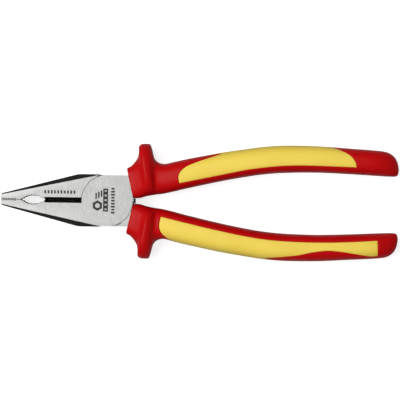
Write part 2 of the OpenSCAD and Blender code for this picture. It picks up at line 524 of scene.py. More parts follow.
@dataclass
class Forging:
    """One steel half: bright where it is ground, black where it is left as forged, and black as
    painted shade on the bevels of its toothed rims.
    """

    lever: Lever
    nodes: dict[str, bpy.types.Object]
    pivot_z: float
    # Edges: their bevels, and where the two halves meet without one
    edge_round: float = 0.09
    # Width of the toothed rims' black bevel, which is painted shade for the gaps between the teeth
    tooth_shade_width: float = 0.14
    bevel_cuts: int = 2
    sharp: float = 24.0
    meeting_gap: float = 0.12
    touch: float = 0.002
    crotch_x: float = 11.0
    cutter_x: Point = (-28.4, -11.2)
    tooth_reach: float = 2.7
    # Ground faces: level ones by their height, upright ones by their place
    level_from: float = 0.99
    upright_to: float = 0.05
    ground_from: float = 5.4
    lap_to: float = 0.2
    joint_x: Point = (-2.6, 12.2)
    joint_y: float = 11.2
    joint_r: float = 12.3
    cutter_r: float = 11.9
    cutter_floor: float = -1.4
    meeting_y: float = 2.35
    nose_end: float = -47.8
    nose_teeth_x: float = -39.5
    # Circles of the joint, which the CAD mesh draws with straight chords
    round_radii: tuple[float, ...] = (11.5, 11.7, 4.0, 4.05, 5.0, 5.05)
    circle_near: float = 0.02
    arc_reach: float = 0.05
    chord_from: float = 0.2
    arc_cuts: int = 3

    def refine_arcs(self, bm: bmesh.types.BMesh) -> None:
        """Splits the straight chords of the joint's circles and moves them out to the arc.

        Args:
            bm: The half's mesh, which is changed.
        """
        near = self.circle_near * MM
        chords = []
        for edge in bm.edges:
            a, b = (v.co for v in edge.verts)
            ra, rb = a.xy.length, b.xy.length
            level = abs(a.z - b.z) < near
            on_circle = any(
                abs(ra - r * MM) < near and abs(rb - r * MM) < near for r in self.round_radii
            )
            if level and on_circle and edge.calc_length() > self.chord_from * MM:
                chords.append(edge)
        ends = {v for edge in chords for v in edge.verts}
        made = bmesh.ops.subdivide_edges(
            bm, edges=chords, cuts=self.arc_cuts, use_grid_fill=True
        )
        inner = [g for g in made["geom_inner"] if isinstance(g, bmesh.types.BMVert)]
        for v in inner:
            if v in ends:
                continue
            r = v.co.xy.length
            target = min(self.round_radii, key=lambda c: abs(c * MM - r)) * MM
            if abs(target - r) < self.arc_reach * MM:
                v.co.xy *= target / r

    def close_jaws(self, bm: bmesh.types.BMesh) -> None:
        """Brings the teeth, the cutting edge and the crotch up to the other half.

        Args:
            bm: The half's mesh, which is changed.
        """
        for v in bm.verts:
            meets = v.co.x < self.cutter_x[1] * MM or v.co.x > self.crotch_x * MM
            if meets and 0 < abs(v.co.y) < self.meeting_gap * MM:
                v.co.y = math.copysign(self.touch * MM, v.co.y)

    def stays_sharp(self, edge: bmesh.types.BMEdge) -> bool:
        """Tells whether an edge stays without a bevel.

        Args:
            edge: An edge of the half.

        Returns:
            True where the cutters or the crotch meet.
        """
        start, end = (c * MM for c in self.cutter_x)
        return all(
            (start - self.edge_round * MM < v.co.x < end or v.co.x > self.crotch_x * MM)
            and abs(v.co.y) < self.meeting_gap * MM
            for v in edge.verts
        )

    def gets_painted_tooth_shade(self, edge: bmesh.types.BMEdge) -> bool:
        """Tells whether an edge gets the wide black bevel that paints shade into the gaps between
        the teeth.

        Args:
            edge: An edge of the half.

        Returns:
            True along the jaws' toothed rims in a ground face.
        """
        return all(
            v.co.x < self.cutter_x[0] * MM and abs(v.co.y) < self.tooth_reach * MM
            and abs(v.co.z - self.pivot_z) > self.ground_from * MM
            for v in edge.verts
        )

    def round_edges(
        self, bm: bmesh.types.BMesh, edges: list[bmesh.types.BMEdge], offset: float
    ) -> list[bmesh.types.BMFace]:
        """Bevels edges.

        Args:
            bm: The half's mesh.
            edges: The edges to round.
            offset: Width of the bevel on each side, in millimetres.

        Returns:
            The bevels' faces.
        """
        return bmesh.ops.bevel(
            bm, geom=edges, offset=offset * MM, offset_type="OFFSET",
            segments=self.bevel_cuts, profile=0.5, affect="EDGES", clamp_overlap=True, material=-1,
        )["faces"]

    def is_black(self, face: bmesh.types.BMFace) -> bool:
        """Tells whether a face of the half is left black.

        Args:
            face: A face of the welded copy, before its edges are rounded.

        Returns:
            True for flanks, the cutter's groove, the teeth at the nose, the stepped neck and
            the tang.
        """
        centre = face.calc_center_median()
        x, y = centre.x / MM, centre.y / MM * self.lever.side
        z = abs(centre.z - self.pivot_z) / MM
        level = abs(face.normal.z)
        if level > self.level_from:
            return not (z > self.ground_from or z < self.lap_to)
        if self.cutter_x[0] < x < self.cutter_x[1] and self.cutter_floor < y:
            return math.hypot(x, y) > self.cutter_r
        upright = level < self.upright_to
        if upright and x < self.cutter_x[0] and -self.meeting_y < y:
            return self.nose_end < x < self.nose_teeth_x
        if upright and self.joint_x[0] < x < self.joint_x[1] and abs(y) > self.joint_y:
            return False
        return not (upright and math.hypot(x, y) < self.joint_r)

    def build(self) -> bpy.types.Object:
        """Makes the rounded, two-tone copy of the half.

        Returns:
            The piece, riding on its lever in place of the CAD node.
        """
        bm = welded_copy(self.nodes[self.lever.forging])
        self.refine_arcs(bm)
        self.close_jaws(bm)
        bm.normal_update()
        for face in bm.faces:
            face.material_index = 1 if self.is_black(face) else 0
        limit = math.radians(self.sharp)
        mark = bm.faces.layers.float.new("edge")
        sharp = [
            e for e in bm.edges
            if len(e.link_faces) == 2 and e.calc_face_angle(0.0) > limit
            and not self.stays_sharp(e)
        ]
        rims = [e for e in sharp if self.gets_painted_tooth_shade(e)]
        others = [e for e in sharp if not self.gets_painted_tooth_shade(e)]
        for face in self.round_edges(bm, others, self.edge_round):
            face[mark] = 1.0
        rims = [e for e in rims if e.is_valid]
        # The toothed rims' bevels take the black finish: painted shade for the dark gaps between
        # the teeth
        for face in self.round_edges(bm, rims, self.tooth_shade_width):
            face.material_index = 1
        for face in bm.faces:
            face.smooth = True
        mesh = mesh_of(bm, self.lever.forging)
        piece = new_piece(f"{self.lever.forging}_steel", mesh)
        for finish in (GROUND_STEEL, FORGED_BLACK_AND_TOOTH_SHADE):
            mesh.materials.append(finish.material())
        even = piece.modifiers.new("even_normals", "WEIGHTED_NORMAL")
        even.weight = 100
        even.keep_sharp = True
        baked(piece)
        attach(piece, self.lever.value)
        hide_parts(self.lever.forging)
        return piece


# ---- Grips ----


def curve_between(four: tuple[np.ndarray, ...], t: np.ndarray) -> np.ndarray:
    """Runs a smooth curve between the middle two of four points.

    Args:
        four: The point before, the two ends of the run, and the point after.
        t: Shares of the way, from 0 to 1, in a column.

    Returns:
        The curve's points, one row for each share.
    """
    a, b, c, d = four
    return 0.5 * (2 * b + (c - a) * t + (2 * a - 5 * b + 4 * c - d) * t**2
                  + (3 * b - a - 3 * c + d) * t**3)


def spline(points: list[Point], steps: int = 12) -> np.ndarray:
    """Runs a smooth curve through points.

    Args:
        points: The points, in order.
        steps: Pieces between two points.

    Returns:
        The curve's points, one row each.
    """
    p = np.array(points, float)
    ends = np.vstack([2 * p[0] - p[1], p, 2 * p[-1] - p[-2]])
    t = np.linspace(0, 1, steps, endpoint=False)[:, None]
    runs = [curve_between(four, t) for four in zip(ends, ends[1:], ends[2:], ends[3:])]
    return np.vstack([*runs, p[-1:]])


@dataclass(frozen=True)
class Window:
    """Outline of the yellow inlay on one face, as smooth runs that meet in corners."""

    runs: tuple[tuple[Point, ...], ...]

    def outline(self) -> np.ndarray:
        """Returns the closed outline, without its repeated corners."""
        return np.vstack([spline(list(run))[:-1] for run in self.runs])

    def distance(self, x: np.ndarray, y: np.ndarray) -> np.ndarray:
        """Measures how far points lie outside the outline.

        Args:
            x: The points' x values.
            y: The points' y values.

        Returns:
            The distances, negative inside the outline.
        """
        a = self.outline()
        b = np.roll(a, -1, axis=0)
        best = np.full(x.shape, np.inf)
        inside = np.zeros(x.shape, bool)
        for (ax, ay), (bx, by) in zip(a, b):
            dx, dy = bx - ax, by - ay
            size = dx * dx + dy * dy
            if size < TINY:
                continue
            t = np.clip(((x - ax) * dx + (y - ay) * dy) / size, 0, 1)
            best = np.minimum(best, np.hypot(x - ax - t * dx, y - ay - t * dy))
            if ay != by:
                crosses = (ay > y) != (by > y)
                inside ^= crosses & (x < ax + (y - ay) * dx / dy)
        return np.where(inside, -best, best)


FAR_OUT = 60.0
WINDOW_ABOVE = Window(runs=(
    ((32.5, 8.2), (44.6, 10.75), (55.9, 13.2), (63.4, 14.75), (73.4, 16.15), (83.0, 16.9),
     (94.7, 16.95), (112.4, 16.5)),
    ((112.4, 16.5), (111.9, 18.9), (110.3, 21.3), (107.7, 23.2), (104.1, 24.7), (99.0, 26.2),
     (94.0, 27.4)),
    ((94.0, 27.4), (94.0, FAR_OUT)),
    ((94.0, FAR_OUT), (66.0, FAR_OUT)),
    ((66.0, FAR_OUT), (66.0, 26.2)),
    ((66.0, 26.2), (59.0, 24.4), (52.0, 22.2), (46.4, 20.3), (40.8, 18.4), (37.0, 16.8),
     (34.0, 14.9), (32.2, 12.4), (32.0, 10.3), (32.5, 8.2)),
))
WINDOW_BELOW = Window(runs=(
    ((24.3, 6.75), (38.7, 10.1), (50.9, 12.75), (63.1, 15.1), (75.0, 16.65), (91.8, 17.35),
     (108.3, 17.0), (122.4, 16.1)),
    ((122.4, 16.1), (122.7, 23.3)),
    ((122.7, 23.3), (119.2, 23.55), (112.7, 22.7), (106.2, 21.7), (99.6, 21.25), (92.5, 22.2),
     (86.7, 23.5), (80.2, 24.3), (71.5, 25.1), (60.0, 26.4)),
    ((60.0, 26.4), (60.0, FAR_OUT)),
    ((60.0, FAR_OUT), (33.0, FAR_OUT)),
    ((33.0, FAR_OUT), (33.0, 20.0)),
    ((33.0, 20.0), (30.0, 18.6), (27.5, 16.9), (25.4, 15.2), (24.0, 13.1), (23.6, 10.5),
     (24.3, 6.75)),
))

# Rings along the upper grip, in millimetres: inner edge x and y, outer edge x and y, and half
# thickness. The last value is squareness: 2 is an ellipse, and more is nearer to a rectangle
GRIP_RINGS = (
    (11.7, 1.3, 8.6, 14.9, 7.3, 4.2),
    (13.0, 1.25, 10.3, 15.65, 7.4, 4.2),
    (14.8, 1.4, 12.1, 17.55, 8.0, 3.6),
    (16.6, 1.9, 13.5, 19.85, 8.7, 3.2),
    (17.5, 2.2, 13.9, 22.3, 9.4, 3.0),
    (18.1, 2.3, 13.9, 24.7, 9.9, 2.9),
    (19.0, 2.5, 15.1, 25.85, 10.42, 2.8),
    (20.6, 2.8, 17.6, 26.05, 9.65, 2.8),
    (21.8, 3.0, 19.1, 25.7, 8.1, 2.8),
    (22.5, 3.1, 20.0, 23.2, 7.55, 2.7),
    (23.4, 3.2, 21.0, 19.6, 7.35, 2.6),
    (24.8, 3.4, 22.6, 17.8, 7.4, 2.7),
    (27.0, 3.85, 25.6, 17.0, 7.65, 2.8),
    (30.8, 4.75, 30.0, 18.0, 7.95, 2.8),
    (36.0, 6.05, 35.5, 19.3, 8.2, 2.8),
    (50.3, 9.3, 50.0, 22.25, 8.6, 2.8),
    (61.0, 11.4, 61.0, 24.05, 8.8, 2.8),
    (70.0, 12.85, 70.0, 25.35, 8.9, 2.8),
    (80.0, 13.75, 80.0, 26.1, 8.9, 2.8),
    (95.0, 14.1, 95.0, 26.05, 8.7, 2.8),
    (110.0, 13.6, 110.0, 25.2, 8.3, 2.7),
    (121.0, 13.05, 121.0, 24.55, 7.8, 2.5),
    (126.5, 12.8, 126.5, 23.8, 6.2, 2.4),
    (129.2, 12.75, 129.6, 21.9, 4.4, 2.4),
    (130.7, 12.95, 131.1, 19.5, 2.9, 2.4),
    (131.5, 13.6, 131.7, 17.2, 1.6, 2.3),
    (131.8, 15.0, 131.9, 15.6, 0.5, 2.0),
)


@dataclass(frozen=True)
class Step:
    """A line at a distance outside the window's outline, and how far the skin is moved there."""

    distance: float
    lift: float


@dataclass
class Skin:
    """The grip's outer skin as a grid, with its normals and its distance from the window."""

    station_step: float = 0.55
    around: int = 112
    lip: float = 0.6
    lip_steps: int = 5
    twist_half: float = 3.0
    side_half: float = 5.0
    side_blur: int = 70
    far: float = 8.0
    slope_held: Point = (0.3, 1.5)
    samples_along: int = 6000
    samples_round: int = 1440
    points: np.ndarray = field(init=False)
    normals: np.ndarray = field(init=False)
    outside: np.ndarray = field(init=False)

    def __post_init__(self) -> None:
        """Lofts the grid and measures the window on it."""
        self.points = self.loft()
        self.normals = self.grid_normals(self.points)
        self.outside = self.window_field()

    def rows_at(self, places: np.ndarray) -> np.ndarray:
        """Interpolates the ring table.

        Args:
            places: Places along the grip, counted in rings from the front.

        Returns:
            The table's six values at each place, one row each.
        """
        table = np.array(GRIP_RINGS)
        last = len(table) - 1
        i = np.minimum(places.astype(int), last - 1)
        t = (places - i)[:, None]
        near = (np.maximum(i - 1, 0), i, i + 1, np.minimum(i + 2, last))
        return curve_between(tuple(table[k] for k in near), t)

    def stations(self) -> tuple[np.ndarray, np.ndarray]:
        """Spaces the rings evenly over the skin, closer together in the front lip.

        Returns:
            The ring rows, and how far each ring is shrunk to round the front edge.
        """
        dense = np.linspace(0, len(GRIP_RINGS) - 1, self.samples_along)
        rows = self.rows_at(dense)
        moves = np.diff(rows[:, :5], axis=0)
        inner = np.hypot(moves[:, 0], moves[:, 1])
        outer = np.hypot(moves[:, 2], moves[:, 3])
        run = np.concatenate([[0], np.cumsum(np.sqrt((inner**2 + outer**2) / 2 + moves[:, 4]**2))])
        turn = np.linspace(0, math.pi / 2, self.lip_steps + 1)[:-1]
        lip_run = self.lip * (1 - np.cos(turn))
        shrink = self.lip * (1 - np.sin(turn))
        count = int((run[-1] - self.lip) / self.station_step)
        rest = np.linspace(self.lip, run[-1], count)
        places = np.interp(np.concatenate([lip_run, rest]), run, dense)
        return self.rows_at(places), np.concatenate([shrink, np.zeros(count)])

    def loft(self) -> np.ndarray:
        """Makes the rings, each with its points spread evenly round it.

        Returns:
            The grid of points in millimetres about the middle of the head: ring, point, xyz.
        """
        rows, shrink = self.stations()
        turn = np.linspace(0, 2 * math.pi, self.samples_round + 1)
        cos, sin = np.cos(turn), np.sin(turn)
        grid = np.zeros((len(rows), self.around, 3))
        for k, (row, less) in enumerate(zip(rows, shrink)):
            inner, outer = row[0:2], row[2:4]
            mid, half = (inner + outer) / 2, (outer - inner) / 2
            size = np.hypot(*half)
            power = 2 / row[5]
            wide = (size - less) * np.sign(cos) * np.abs(cos) ** power
            high = (row[4] - less) * np.sign(sin) * np.abs(sin) ** power
            run = np.concatenate([[0], np.cumsum(np.hypot(np.diff(wide), np.diff(high)))])
            even = np.linspace(0, run[-1], self.around + 1)[:-1]
            w, h = np.interp(even, run, wide), np.interp(even, run, high)
            grid[k, :, 0] = mid[0] + half[0] / size * w
            grid[k, :, 1] = mid[1] + half[1] / size * w
            grid[k, :, 2] = h
        return grid

    @staticmethod
    def grid_normals(grid: np.ndarray) -> np.ndarray:
        """Finds the outward unit normals of a grid whose rings close on themselves.

        Args:
            grid: The grid of points: ring, point, xyz.

        Returns:
            The normals, in the same form.
        """
        along = np.gradient(grid, axis=0)
        round_ = np.roll(grid, -1, axis=1) - np.roll(grid, 1, axis=1)
        normal = np.cross(round_, along)
        return normal / np.maximum(np.linalg.norm(normal, axis=2, keepdims=True), TINY)

    @staticmethod
    def eased(share: np.ndarray) -> np.ndarray:
        """Returns a share held between 0 and 1, with soft starts and stops."""
        held = np.clip(share, 0, 1)
        return held * held * (3 - 2 * held)

    def window_field(self) -> np.ndarray:
        """Measures how far each grid point lies outside the window, along the skin.

        Returns:
            The distances in millimetres, negative inside, trusted near the outline only.
        """
        x, y, z = (self.points[:, :, k] for k in range(3))
        above = np.clip(WINDOW_ABOVE.distance(x, y), -self.far, self.far)
        below = np.clip(WINDOW_BELOW.distance(x, y), -self.far, self.far)
        share = self.eased((z + self.twist_half) / (2 * self.twist_half))
        value = share * above + (1 - share) * below
        flowing = value
        for _ in range(self.side_blur):
            ends = np.vstack([flowing[:1], flowing, flowing[-1:]])
            beside = np.roll(flowing, 1, axis=1) + np.roll(flowing, -1, axis=1)
            flowing = (4 * flowing + ends[:-2] + ends[2:] + beside) / 8
        level = self.eased((np.abs(z) - self.side_half / 2) / (self.side_half / 2))
        value = level * value + (1 - level) * flowing
        ring_gap = np.linalg.norm(np.gradient(self.points, axis=0), axis=2)
        point_gap = np.linalg.norm(
            np.roll(self.points, -1, axis=1) - np.roll(self.points, 1, axis=1), axis=2
        )
        slope_along = np.gradient(value, axis=0) / np.maximum(ring_gap, TINY)
        slope_round = (np.roll(value, -1, axis=1) - np.roll(value, 1, axis=1)) / point_gap
        slope = np.hypot(slope_along, slope_round)
        return value / np.clip(slope, *self.slope_held)


@dataclass
class Grip:
    """One handle's covering: the red shell with its guard collar, and the yellow inlay in it."""

    lever: Lever
    nodes: dict[str, bpy.types.Object]
    pivot_z: float
    skin: Skin
    inlay_depth: float = 1.41
    line_weld: float = 0.004
    rim_margin: float = 0.005
    shell_crease: float = 40.0
    inlay_crease: float = 50.0
    shell_steps: tuple[Step, ...] = (
        Step(0.40, 0.0), Step(0.18, -0.03), Step(0.06, -0.12), Step(0.0, -0.30),
        Step(-0.05, -1.43),
    )
    inlay_steps: tuple[Step, ...] = (
        Step(-0.07, -0.30), Step(-0.12, -0.13), Step(-0.24, -0.03), Step(-0.45, 0.02),
    )

    def placed(self, points: np.ndarray) -> np.ndarray:
        """Moves points from the middle of the head to the lever's handle, in metres."""
        side = self.lever.side
        return points * np.array([1.0, side, side]) * MM + np.array([0.0, 0.0, self.pivot_z])

    def scored(self, steps: tuple[Step, ...]) -> tuple[bmesh.types.BMesh, Layers]:
        """Builds the skin with an edge loop along each step's line.

        The vertices stand for a moment at their distance from the window, so that a plane
        cuts a line of equal distance into the skin. Their places wait in vertex layers.

        Args:
            steps: The lines to cut.

        Returns:
            The open skin as a bmesh, and its vertex layers by name.
        """
        bm = bmesh.new()
        layers = {k: bm.verts.layers.float_vector.new(k) for k in ("place", "normal")}
        rings, around = self.skin.outside.shape
        verts = []
        for i in range(rings):
            for j in range(around):
                v = bm.verts.new((self.skin.outside[i, j], i, j))
                v[layers["place"]] = Vector(self.skin.points[i, j])
                v[layers["normal"]] = Vector(self.skin.normals[i, j])
                verts.append(v)
        for i in range(rings - 1):
            for j in range(around):
                k = (j + 1) % around
                bm.faces.new((
                    verts[i * around + j], verts[i * around + k],
                    verts[(i + 1) * around + k], verts[(i + 1) * around + j],
                ))
        for step in steps:
            bmesh.ops.bisect_plane(
                bm, geom=bm.verts[:] + bm.edges[:] + bm.faces[:], dist=self.line_weld,
                plane_co=(step.distance, 0, 0), plane_no=(1, 0, 0),
            )
        return bm, layers

    def settle(self, bm: bmesh.types.BMesh, layers: Layers, steps: tuple[Step, ...]) -> None:
        """Puts the skin's vertices in place, lifted by their distance from the window.

        Args:
            bm: The skin from scored, which is changed.
            layers: Its vertex layers.
            steps: The lift on each line that was cut.
        """
        at = [s.distance for s in reversed(steps)]
        lift = [s.lift for s in reversed(steps)]
        for v in bm.verts:
            height = float(np.interp(v.co.x, at, lift))
            v.co = v[layers["place"]] + v[layers["normal"]].normalized() * height

    def finish_mesh(self, bm: bmesh.types.BMesh, name: str, angle: float) -> bpy.types.Mesh:
        """Turns a bmesh in millimetres into a placed, smooth-shaded mesh and frees it.

        Args:
            bm: The settled skin.
            name: The mesh's name.
            angle: Angle in degrees from which an edge stays sharp.

        Returns:
            The mesh, in metres on its lever.
        """
        bm.normal_update()
        mesh = mesh_of(bm, name)
        flat = np.empty(len(mesh.vertices) * 3)
        mesh.vertices.foreach_get("co", flat)
        mesh.vertices.foreach_set("co", self.placed(flat.reshape(-1, 3)).ravel())
        for layer in ("place", "normal"):
            if layer in mesh.attributes:
                mesh.attributes.remove(mesh.attributes[layer])
        soften(mesh, angle)
        return mesh

    def cut_away(self, piece: bpy.types.Object, node: str) -> None:
        """Cuts a CAD node's solid out of a piece.

        Args:
            piece: The piece, which is changed.
            node: The CAD node's name.
        """
        bm = welded_copy(self.nodes[node])
        bmesh.ops.triangulate(bm, faces=bm.faces[:])
        cutter = new_piece(f"{node}_cutter", mesh_of(bm, f"{node}_cutter"))
        cut = piece.modifiers.new("cut", "BOOLEAN")
        cut.operation = "DIFFERENCE"
        cut.solver = "MANIFOLD"
        cut.object = cutter
        baked(piece)
        drop_slivers(piece.data)
        bpy.data.objects.remove(cutter)

    def build_shell(self) -> bpy.types.Object:
        """Makes the red shell: lofted skin with the inlay's pocket, hollow for the tang.

        Returns:
            The piece, riding on its lever in place of the CAD grip.
        """
        bm, layers = self.scored(self.shell_steps)
        self.settle(bm, layers, self.shell_steps)
        edges = [e for e in bm.edges if e.is_boundary]
        bmesh.ops.holes_fill(bm, edges=edges, sides=0)
        bmesh.ops.recalc_face_normals(bm, faces=bm.faces[:])
        node = f"{self.lever.handle}_grip"
        piece = new_piece(f"{node}_shell", self.finish_mesh(bm, node, self.shell_crease))
        piece.data.materials.append(RED_SHELL.material())
        self.cut_away(piece, self.lever.forging)
        self.cut_away(piece, f"{self.lever.handle}_sleeve")
        piece.data.materials.clear()
        piece.data.materials.append(RED_SHELL.material())
        soften(piece.data, self.shell_crease)
        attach(piece, self.lever.value)
        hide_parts(node)
        return piece

    def build_inlay(self) -> bpy.types.Object:
        """Makes the yellow inlay as a closed band of even depth with rounded edges.

        Returns:
            The piece, riding on its lever in place of the CAD inlay.
        """
        bm, layers = self.scored(self.inlay_steps)
        rim = self.inlay_steps[0].distance + self.rim_margin
        beyond = [f for f in bm.faces if any(v.co.x > rim for v in f.verts)]
        bmesh.ops.delete(bm, geom=beyond, context="FACES")
        self.settle(bm, layers, self.inlay_steps)
        top = bm.faces[:]
        border = [e for e in bm.edges if e.is_boundary]
        corners = [(e.link_loops[0].vert, e.link_loops[0].link_loop_next.vert) for e in border]
        copy = bmesh.ops.duplicate(bm, geom=bm.verts[:] + bm.edges[:] + top)
        twin = copy["vert_map"]
        for face in [g for g in copy["geom"] if isinstance(g, bmesh.types.BMFace)]:
            face.normal_flip()
            for v in face.verts:
                v.co = v[layers["place"]] - v[layers["normal"]].normalized() * self.inlay_depth
        for a, b in corners:
            bm.faces.new((b, a, twin[a], twin[b]))
        node = f"{self.lever.handle}_inlay"
        piece = new_piece(f"{node}_soft", self.finish_mesh(bm, node, self.inlay_crease))
        piece.data.materials.append(YELLOW_SOFT.material())
        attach(piece, self.lever.value)
        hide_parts(node)
        return piece


# ---- Markings ----


def tick_row_tree() -> None:
    """Makes the Geometry Nodes tree of a row of bars along a line, with its sizes as inputs."""
    tree = bpy.data.node_groups.new("tick_row", "GeometryNodeTree")
    face = tree.interface
    for label, kind in (
        ("Geometry", "NodeSocketGeometry"), ("Count", "NodeSocketInt"),
        ("Pitch", "NodeSocketFloat"), ("Bar Size", "NodeSocketVector"),
        ("Shortest", "NodeSocketFloat"), ("Place", "NodeSocketVector"),
        ("Turn", "NodeSocketVector"), ("Seed", "NodeSocketInt"),
        ("Material", "NodeSocketMaterial"),
    ):
        face.new_socket(label, in_out="INPUT", socket_type=kind)
    face.new_socket("Geometry", in_out="OUTPUT", socket_type="NodeSocketGeometry")
    given = node_in(tree, "NodeGroupInput")
    out = node_in(tree, "NodeGroupOutput")
    line = node_in(tree, "GeometryNodeMeshLine")
    offset = node_in(tree, "ShaderNodeCombineXYZ")
    bar = node_in(tree, "GeometryNodeMeshCube")
    size = node_in(tree, "FunctionNodeRandomValue", data_type="FLOAT_VECTOR")
    low = node_in(tree, "ShaderNodeCombineXYZ", X=1.0, Z=1.0)
    size.inputs[1].default_value = (1.0, 1.0, 1.0)
    spread = node_in(tree, "GeometryNodeInstanceOnPoints")
    real = node_in(tree, "GeometryNodeRealizeInstances")
    move = node_in(tree, "GeometryNodeTransform")
    dress = node_in(tree, "GeometryNodeSetMaterial")
    wire(
        tree,
        (given, "Count", line, "Count"),
        (given, "Pitch", offset, "X"),
        (offset, 0, line, "Offset"),
        (given, "Bar Size", bar, "Size"),
        (given, "Shortest", low, "Y"),
        (low, 0, size, 0),
        (given, "Seed", size, "Seed"),
        (line, "Mesh", spread, "Points"),
        (bar, "Mesh", spread, "Instance"),
        (size, 0, spread, "Scale"),
        (spread, 0, real, 0),
        (real, 0, move, "Geometry"),
        (given, "Place", move, "Translation"),
        (given, "Turn", move, "Rotation"),
        (move, 0, dress, "Geometry"),
        (given, "Material", dress, "Material"),
        (dress, 0, out, "Geometry"),
    )


@dataclass(frozen=True)
class TickRow:
    """A row of plain bars marked on the head, with no letters or numbers."""

    name: str
    lever: Lever
    centre: Point
    length: float
    bar: Point
    count: int
    upright: bool
    shortest: float
    seed: int
    thickness: float = 0.04

    def build(self, face_z: float) -> bpy.types.Object:
        """Makes the row with Geometry Nodes and bakes it to a mesh.

        Args:
            face_z: Height of the head's front face, in metres.

        Returns:
            The piece, riding on its lever.
        """
        piece = new_piece(self.name, bpy.data.meshes.new(self.name))
        mod = piece.modifiers.new("ticks", "NODES")
        mod.node_group = bpy.data.node_groups["tick_row"]
        pitch = (self.length - self.bar[0]) / (self.count - 1)
        turn = math.pi / 2 if self.upright else 0.0
        run = Vector((math.cos(turn), math.sin(turn), 0)) * (pitch * (self.count - 1) / 2)
        place = Vector((*self.centre, 0)) - run
        values = {
            "Count": self.count,
            "Pitch": pitch * MM,
            "Bar Size": Vector((*self.bar, self.thickness)) * MM,
            "Shortest": self.shortest,
            "Place": Vector((place.x * MM, place.y * MM, face_z)),
            "Turn": Vector((0, 0, turn)),
            "Seed": self.seed,
            "Material": MARKING.material(),
        }
        for item in mod.node_group.interface.items_tree:
            if item.in_out == "INPUT" and item.name in values:
                mod[item.identifier] = values[item.name]
        piece.update_tag()
        baked(piece)
        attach(piece, self.lever.value)
        return piece


@dataclass(frozen=True)
class Badge:
    """A plain badge marked on the joint: a slotted plate and a hexagon with a round hole."""

    plate_centre: Point = (-0.7, 0.2)
    plate_size: Point = (2.2, 10.4)
    slots: int = 5
    slot_size: Point = (0.9, 0.7)
    hexagon_centre: Point = (-4.35, -2.3)
    hexagon_r: float = 2.4
    hole_r: float = 1.1
    hole_sides: int = 24
    bar_centres: tuple[Point, ...] = ((-5.0, 2.0), (-3.8, 2.5), (-2.6, 3.1))
    bar_size: Point = (0.7, 2.8)
    thickness: float = 0.04

    def loop(self, curve: bpy.types.Curve, points: list[Point]) -> None:
        """Adds a closed outline to the flat curve.

        Args:
            curve: The curve, which is changed.
            points: The outline's corners.
        """
        run = curve.splines.new("POLY")
        run.points.add(len(points) - 1)
        for point, (x, y) in zip(run.points, points):
            point.co = (x * MM, y * MM, 0, 1)
        run.use_cyclic_u = True

    @staticmethod
    def ring(centre: Point, radius: float, sides: int) -> list[Point]:
        """Returns the corners of a regular polygon."""
        turns = [2 * math.pi * k / sides + math.pi / 6 for k in range(sides)]
        return [(centre[0] + radius * math.cos(t), centre[1] + radius * math.sin(t)) for t in turns]

    @staticmethod
    def box(centre: Point, size: Point) -> list[Point]:
        """Returns the corners of an upright rectangle."""
        (x, y), (w, h) = centre, (size[0] / 2, size[1] / 2)
        return [(x - w, y - h), (x + w, y - h), (x + w, y + h), (x - w, y + h)]

    def build(self, face_z: float) -> bpy.types.Object:
        """Draws the badge as a flat curve and turns it into a thin mesh.

        Args:
            face_z: Height of the head's front face, in metres.

        Returns:
            The piece, riding on the front lever.
        """
        curve = bpy.data.curves.new("badge", "CURVE")
        curve.dimensions = "2D"
        curve.fill_mode = "BOTH"
        curve.extrude = self.thickness / 2 * MM
        self.loop(curve, self.box(self.plate_centre, self.plate_size))
        pitch = self.plate_size[1] / self.slots
        for k in range(self.slots):
            y = self.plate_centre[1] + (k - (self.slots - 1) / 2) * pitch
            self.loop(curve, self.box((self.plate_centre[0], y), self.slot_size))
        self.loop(curve, self.ring(self.hexagon_centre, self.hexagon_r, 6))
        self.loop(curve, self.ring(self.hexagon_centre, self.hole_r, self.hole_sides))
        for centre in self.bar_centres:
            self.loop(curve, self.box(centre, self.bar_size))
        drawn = bpy.data.objects.new("badge_curve", curve)
        bpy.context.scene.collection.objects.link(drawn)
        graph = bpy.context.evaluated_depsgraph_get()
        mesh = bpy.data.meshes.new_from_object(drawn.evaluated_get(graph))
        bpy.data.objects.remove(drawn)
        for v in mesh.vertices:
            v.co.z += face_z
        piece = new_piece("badge_marking", mesh)
        mesh.materials.clear()
        mesh.materials.append(MARKING.material())
        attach(piece, Lever.FRONT.value)
        return piece


TICK_ROWS = (
    TickRow(
        name="capacity_marking", lever=Lever.REAR, centre=(-21.4, 3.6), length=14.0,
        bar=(0.8, 1.8), count=10, upright=False, shortest=0.7, seed=3,
    ),
    TickRow(
        name="class_marking", lever=Lever.FRONT, centre=(2.6, 0.0), length=11.6,
        bar=(0.8, 1.8), count=9, upright=True, shortest=0.7, seed=8,
    ),
)


# ---- Studio ----


@dataclass(frozen=True)
class Softbox:
    """A soft rectangular lamp aimed at the tool, with its place and size in metres."""

    name: str
    place: Triple
    size: Point
    power: float


